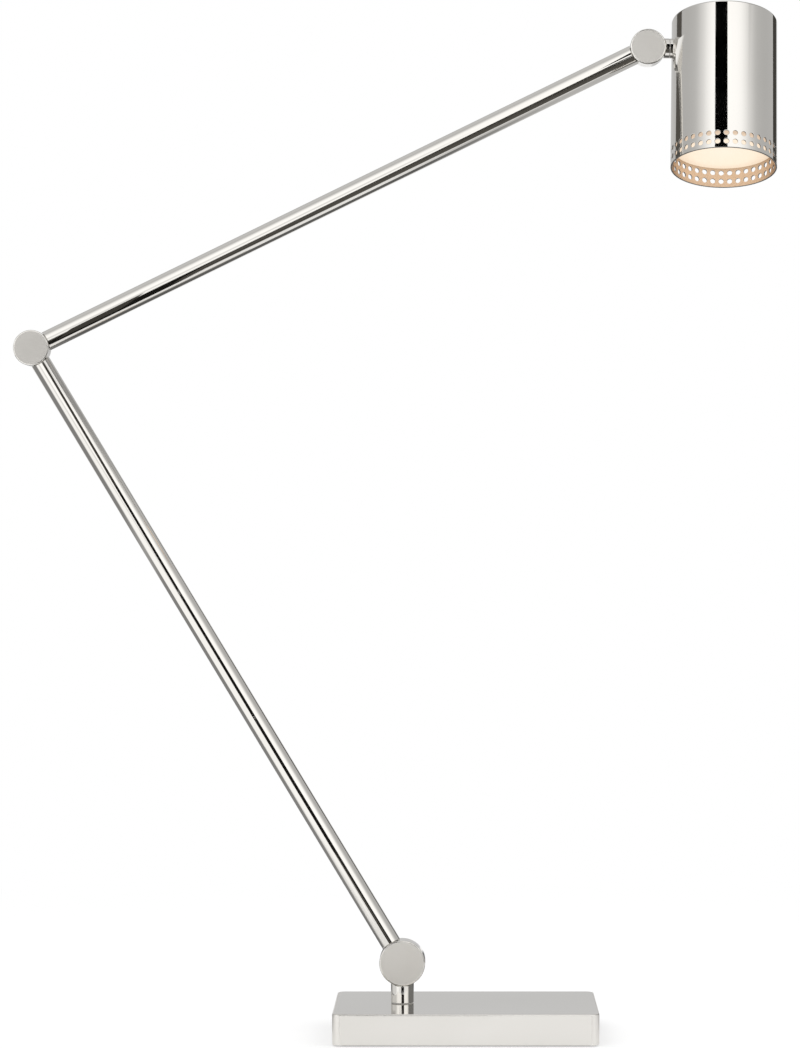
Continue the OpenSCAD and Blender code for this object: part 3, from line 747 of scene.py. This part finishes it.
def shade_loops(profile):
    """Loops round the shade whose points meet the cells of the pierced band."""
    turn = full_turn(HOLES * CELL_STEPS, FIRST_HOLE - HOLE_PITCH / 2)
    return [
        [(radius * math.cos(t), radius * math.sin(t), height) for t in turn]
        for radius, height in profile
    ]


def shade_mesh():
    """The drum: a thin wall with two rows of holes, a rounded rim and a closed top."""
    bm = bmesh.new()
    for column in range(HOLES):
        for row in range(2):
            pierced_cell(bm, OUTER_R, column, row, SHADE_WALL / 2)
            pierced_cell(bm, INNER_R, column, row, -SHADE_WALL / 2)
    stack(bm, shade_loops(
        [(OUTER_R, BAND[0]), (OUTER_R, RIM_Z + RIM_EDGE + SUPPORT)]
        + arc(OUTER_R - RIM_EDGE, RIM_Z + RIM_EDGE, RIM_EDGE, 0, -90, RIM_STEPS)
        + arc(INNER_R + RIM_EDGE, RIM_Z + RIM_EDGE, RIM_EDGE, 270, 180, RIM_STEPS)
        + [(INNER_R, RIM_Z + RIM_EDGE + SUPPORT), (INNER_R, BAND[0])]
    ))
    stack(bm, shade_loops(
        [(OUTER_R, BAND[2]), (OUTER_R, BAND[2] + SUPPORT), (OUTER_R, TOP_Z - SHADE_EDGE - SUPPORT)]
        + arc(OUTER_R - SHADE_EDGE, TOP_Z - SHADE_EDGE, SHADE_EDGE, 0, 90, EDGE_STEPS)
        + [(OUTER_R - SHADE_EDGE - SUPPORT, TOP_Z)]
    ), cap=True)
    stack(bm, shade_loops(
        [(INNER_R, BAND[2]), (INNER_R, INNER_TOP_Z), (INNER_R - SUPPORT, INNER_TOP_Z)]
    ), cap=True)
    bmesh.ops.remove_doubles(bm, verts=bm.verts, dist=WELD * MM)
    bmesh.ops.recalc_face_normals(bm, faces=bm.faces)
    mesh = bpy.data.meshes.new("shade")
    bm.to_mesh(mesh)
    bm.free()
    return mesh


def dress_shade(mesh):
    """Polish outside, the lining with its painted warm glow inside, and painted shade at the rim's
    edge and in the holes.
    """
    for material in (polish, glow_painted_lining, rim_and_hole_painted_shade):
        mesh.materials.append(material)
    for face in mesh.polygons:
        centre = Vector(face.center) / MM
        radius = math.hypot(centre.x, centre.y)
        if radius < MIDDLE_R and centre.z < INNER_TOP_Z + SHADE_WALL / 2:
            face.material_index = 1
        # The rim's edge and the holes' walls take the darker nickel: painted shade.
        in_hole = abs(radius - MIDDLE_R) < SHADE_WALL * WALL_MIDDLE and centre.z < BAND[2]
        if centre.z < RIM_Z + RIM_EDGE + SUPPORT or in_hole:
            face.material_index = 2


drum = shade_mesh()
dress_shade(drum)
drum.transform(shade_frame)
drum.shade_smooth()
drum.set_sharp_from_angle(angle=SHARP)
piece = bpy.data.objects.new("shade", drum)
bpy.context.scene.collection.objects.link(piece)
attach(piece, "head")
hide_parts("shade")


# Studio

def quad(name, corners):
    """A stage object of one face, with a map over it from its first corner to its third."""
    mesh = bpy.data.meshes.new(name)
    mesh.from_pydata([Vector(corner) for corner in corners], [], [(0, 1, 2, 3)])
    places = mesh.uv_layers.new(name="over")
    for loop, place in zip(places.data, ((0, 0), (1, 0), (1, 1), (0, 1))):
        loop.uv = place
    stage_object = bpy.data.objects.new(name, mesh)
    bpy.context.scene.collection.objects.link(stage_object)
    return stage_object


def rectangle(low_a, high_a, low_b, high_b):
    """Corners of a rectangle between two values across and two up."""
    return [(low_a, low_b), (high_a, low_b), (high_a, high_b), (low_a, high_b)]


def card(name, corners, brightness, left=0.02, right=0.02, low=0.02, high=0.02):
    """A studio card that only reflections see; its four edges fade over shares of its sides."""
    stage_object = quad(name, corners)
    material = bpy.data.materials.new(name)
    material.use_nodes = True
    tree = material.node_tree
    tree.nodes.clear()
    place = tree.nodes.new("ShaderNodeTexCoord")
    split = tree.nodes.new("ShaderNodeSeparateXYZ")
    tree.links.new(place.outputs["UV"], split.inputs[0])
    across, up = split.outputs[0], split.outputs[1]
    sides = (fade(tree, across, 0, left), fade(tree, across, 1, 1 - right))
    ends = (fade(tree, up, 0, low), fade(tree, up, 1, 1 - high))
    cover = calculate(
        tree, "MULTIPLY", calculate(tree, "MULTIPLY", *sides), calculate(tree, "MULTIPLY", *ends)
    )
    glow = tree.nodes.new("ShaderNodeEmission")
    glow.inputs["Strength"].default_value = brightness
    if brightness < WARM_BELOW:
        glow.inputs["Color"].default_value = WARM
    clear = tree.nodes.new("ShaderNodeBsdfTransparent")
    mix = tree.nodes.new("ShaderNodeMixShader")
    out = tree.nodes.new("ShaderNodeOutputMaterial")
    tree.links.new(cover, mix.inputs[0])
    tree.links.new(clear.outputs[0], mix.inputs[1])
    tree.links.new(glow.outputs[0], mix.inputs[2])
    tree.links.new(mix.outputs[0], out.inputs["Surface"])
    stage_object.data.materials.append(material)
    stage_object.visible_camera = False
    stage_object.visible_diffuse = False
    stage_object.visible_shadow = False
    stage_object.visible_transmission = False
    stage_object.visible_volume_scatter = False


def front_card(name, y, corners, brightness, **edges):
    """A card that faces the front or the rear, from (x, z) corners."""
    card(name, [(x, y, z) for x, z in corners], brightness, **edges)


def side_card(name, x, corners, brightness, **edges):
    """A card that faces a side, from (y, z) corners."""
    card(name, [(x, y, z) for y, z in corners], brightness, **edges)


def level_card(name, z, corners, brightness, **edges):
    """A level card, from (x, y) corners."""
    card(name, [(x, y, z) for x, y in corners], brightness, **edges)


def floor_card(name, corners, brightness, layer=1, **edges):
    """A card on the floor; overlapping cards lie in different layers."""
    level_card(name, FLOOR_LIFT * layer, corners, brightness, **edges)


def floor():
    """A pale floor that reads white, keeps the lamp's shadow and fades into the backdrop."""
    stage_object = quad("floor", [
        (x, y, 0) for x, y in rectangle(-FLOOR_SIZE, FLOOR_SIZE, -FLOOR_SIZE, FLOOR_SIZE)
    ])
    material, tree, shader = new_material(
        "floor", Roughness=0.9, Specular_IOR_Level=0.0, Emission_Strength=FLOOR_GLOW
    )
    shader.inputs["Base Color"].default_value = (*[FLOOR_TONE] * 3, 1)
    shader.inputs["Emission Color"].default_value = (1, 1, 1, 1)
    place = tree.nodes.new("ShaderNodeTexCoord")
    distance = tree.nodes.new("ShaderNodeVectorMath")
    distance.operation = "LENGTH"
    tree.links.new(place.outputs["Object"], distance.inputs[0])
    away = fade(tree, distance.outputs["Value"], *FLOOR_FADE)
    white = tree.nodes.new("ShaderNodeEmission")
    mix = tree.nodes.new("ShaderNodeMixShader")
    tree.links.new(away, mix.inputs[0])
    tree.links.new(shader.outputs[0], mix.inputs[1])
    tree.links.new(white.outputs[0], mix.inputs[2])
    tree.links.new(mix.outputs[0], tree.nodes["Material Output"].inputs["Surface"])
    stage_object.data.materials.append(material)


def world():
    """White all round, but reflections see a wide soft light in front that falls off behind."""
    scene_world = bpy.data.worlds.new("studio")
    bpy.context.scene.world = scene_world
    scene_world.use_nodes = True
    tree = scene_world.node_tree
    background = tree.nodes["Background"]
    place = tree.nodes.new("ShaderNodeTexCoord")
    split = tree.nodes.new("ShaderNodeSeparateXYZ")
    tree.links.new(place.outputs["Generated"], split.inputs[0])
    sky = tree.nodes.new("ShaderNodeFloatCurve")
    curve = sky.mapping.curves[0]
    curve.points[0].location = (0.0, SKY_STOPS[0][1] / SKY_SCALE)
    curve.points[1].location = (1.0, SKY_STOPS[-1][1] / SKY_SCALE)
    for at, glow in SKY_STOPS[1:-1]:
        curve.points.new((at + 1) / 2, glow / SKY_SCALE)
    sky.mapping.update()
    to_rear = calculate(tree, "MULTIPLY_ADD", split.outputs["Y"], 0.5, 0.5)  # 0 in front, 1 behind
    tree.links.new(to_rear, sky.inputs["Value"])
    reflected = calculate(tree, "MULTIPLY", sky.outputs[0], SKY_SCALE)
    path = tree.nodes.new("ShaderNodeLightPath")
    by_ray = tree.nodes.new("ShaderNodeMix")
    factor, other_rays, glossy_rays = by_ray.inputs[0], by_ray.inputs[2], by_ray.inputs[3]
    other_rays.default_value = 1.0
    tree.links.new(path.outputs["Is Glossy Ray"], factor)
    tree.links.new(reflected, glossy_rays)
    tree.links.new(by_ray.outputs[0], background.inputs["Strength"])
    background.inputs["Color"].default_value = (1, 1, 1, 1)


def area_light(name, place, power):
    """A soft light that reflections don't show."""
    light = bpy.data.lights.new(name, "AREA")
    light.shape = "RECTANGLE"
    light.size, light.size_y = LIGHT_SIZE
    light.energy = power
    light_object = bpy.data.objects.new(name, light)
    light_object.location = place
    aim = Vector(LIGHT_TARGET) - Vector(place)
    light_object.rotation_euler = aim.to_track_quat("-Z", "Y").to_euler()
    light_object.visible_camera = False
    light_object.visible_glossy = False
    bpy.context.scene.collection.objects.link(light_object)


def glow_inside():
    """The light that the diffuser throws on the shade's inside; it moves with the head."""
    light = bpy.data.lights.new("diffuser_light", "AREA")
    light.shape = "DISK"
    light.size = 2 * INNER_LIGHT_SHARE * INNER_R * MM
    light.energy = INNER_LIGHT_POWER
    light.color = INNER_LIGHT_COLOUR
    light_object = bpy.data.objects.new("diffuser_light", light)
    light_object.visible_camera = False
    bpy.context.scene.collection.objects.link(light_object)
    light_object.parent = frame["bodies"]["head"]
    bpy.context.view_layer.update()
    below = Matrix.Translation((0, 0, (DIFFUSER_Z - LIGHT_BELOW) * MM))
    light_object.matrix_world = shade_frame @ below


floor()
world()

# Dark cards in front: the stripes in the arms, the elbow, the stem and the drum
front_card("flag_low", FRONT_Y,
           [(-0.60, -0.05), (1.0, -0.05), (0.62, 0.26), (-0.56, 0.0)], DARK)
front_card("flag_right_low", FRONT_Y,
           [(0.04, 0.12), (0.60, 0.12), (0.34, 0.68), (0.27, 0.73)], GREY)
front_card("flag_arm_low", ARM_Y,
           [(-0.150, 0.055), (-0.012, 0.138), (-0.083, 0.229), (-0.195, 0.160)], DARK)
front_card("flag_arm_middle", ARM_Y,
           [(-0.194, 0.157), (-0.081, 0.226), (-0.119, 0.327), (-0.228, 0.262)], DARK)
front_card("flag_arm_high", ARM_Y,
           [(-0.2275, 0.259), (-0.1185, 0.324), (-0.135, 0.440), (-0.244, 0.371)], DARK)
front_card("flag_elbow", -0.1,
           [(-0.228, 0.350), (-0.186, 0.376), (-0.2115, 0.478), (-0.2585, 0.446)], GREY)
front_card("flag_stem", -0.5, rectangle(-0.115, 0.13, 0.055, 0.11), DARK)
front_card("flag_high", NECK_Y,
           [(0.0815, 0.66), (0.176, 0.66), (0.176, 0.85), (0.0612, 0.85)], BLACK,
           left=0.01, right=0.01)

# Light on the upper arm's top, and the crescent and the seam beside the neck
front_card("soft_upper", ARM_Y,
           [(-0.311, 0.4406), (0.03, 0.607), (-0.0185, 0.7057), (-0.3593, 0.5395)], 0.96,
           left=0.05, right=0.25, low=0.1, high=0.65)
side_card("glow_neck", 0.1325,
          [(-0.0178, 0.612), (-0.0122, 0.6165), (-0.0122, 0.6307), (-0.0178, 0.6352)], 1.1,
          left=0.5, right=0.05)
front_card("flag_neck", NECK_Y, rectangle(0.134, 0.151, 0.596, 0.662), 0.02)

# The greys that the floor gives the base, the stem and the undersides
floor_card("floor_front", [(-0.60, -2.0), (1.5, -2.0), (1.25, -0.78), (-0.33, -0.78)], 0.09,
           left=0.01, right=0.2, layer=4)
floor_card("floor_middle", [(-0.335, -0.80), (1.25, -0.80), (1.2, -0.30), (-0.12, -0.30)], 0.10,
           left=0.012, right=0.2, high=0.25, layer=4.5)
floor_card("floor_stem", [(-0.175, -0.42), (0.055, -0.40), (0.045, -0.24), (-0.105, -0.24)], DARK,
           left=0.08, right=0.15, low=0.05, high=0.1, layer=5)
front_card("flag_stem_low", -0.17, rectangle(-0.078, 0.024, 0.0029, 0.0105), BLACK,
           left=0.1, right=0.12)
side_card("stem_left", -0.085, rectangle(-0.03, 0.04, 0.0205, 0.031), 0.85,
          left=0.05, right=0.6)
card("side_low", [(1.05, -0.6, 0.05), (0.45, 1.6, 0.05), (0.45, 1.6, 0.42), (1.05, -0.6, 0.42)],
     0.24, left=0.1, right=0.15, low=0.1, high=0.3)
floor_card("floor_left", [(-0.85, -0.20), (-0.105, -0.03), (-0.088, 1.6), (-0.85, 1.8)], 0.28,
           left=0.2, right=0.02, low=0.05, high=0.3, layer=2)
floor_card("floor_left_far", [(-1.7, -1.15), (-0.65, -0.22), (-0.65, 1.8), (-1.7, 1.9)], 0.28,
           left=0.1, right=0.2, low=0.15, high=0.35, layer=2.5)
floor_card("floor_bright", [(-1.9, -1.9), (-0.5, -1.9), (-0.12, -0.06), (-1.6, -0.06)], 1.26,
           left=0.2, low=0.1, high=0.05)
floor_card("floor_rear", rectangle(-0.2, 0.45, -0.03, 0.85), 0.13,
           left=0.2, right=0.3, low=0.1, high=0.15, layer=3)
floor_card("floor_right", rectangle(0.2, 1.7, -0.35, 1.7), 0.6,
           left=0.1, right=0.2, low=0.1, high=0.2, layer=2)

# Walls and ceiling: the soft bands at the drum's sides and the tones of the level faces
side_card("flag_left", -SIDE_X, rectangle(1.12, 2.3, 0.7, 2.2), 0.10)
front_card("flag_right", REAR_Y, rectangle(1.05, 2.4, 0.7, 1.6), GREY)
side_card("side_left", -SIDE_X, rectangle(-1.1, -0.1, 0.7, 1.45), 1.6,
          left=0.2, right=0.2, low=0.2, high=0.2)
side_card("side_right", SIDE_X, rectangle(-1.3, 2.0, 1.85, 2.7), 0.35,
          left=0.2, low=0.3)
level_card("ceiling_left", 3.2, rectangle(-3.0, 0.5, -0.4, 2.6), 0.69,
           left=0.1, right=0.15, low=0.12, high=0.1)
level_card("ceiling", 3.0, rectangle(-0.9, 0.9, -0.9, 0.9), 0.95,
           left=0.4, right=0.4, low=0.4, high=0.4)

area_light("key", (-0.9, -1.2, 1.9), 10)
area_light("fill", (1.3, -0.8, 1.5), 6)
glow_inside()

camera = bpy.data.cameras.new("camera")
camera.lens = CAMERA_LENS
camera.sensor_fit = "VERTICAL"
camera.sensor_width = SENSOR
camera.sensor_height = SENSOR
camera.shift_x, camera.shift_y = CAMERA_SHIFT
camera_object = bpy.data.objects.new("camera", camera)
camera_object.location = CAMERA_AT
camera_object.rotation_euler = (math.radians(90), 0, 0)
bpy.context.scene.collection.objects.link(camera_object)
bpy.context.scene.camera = camera_object
bpy.context.scene.view_settings.view_transform = "Standard"
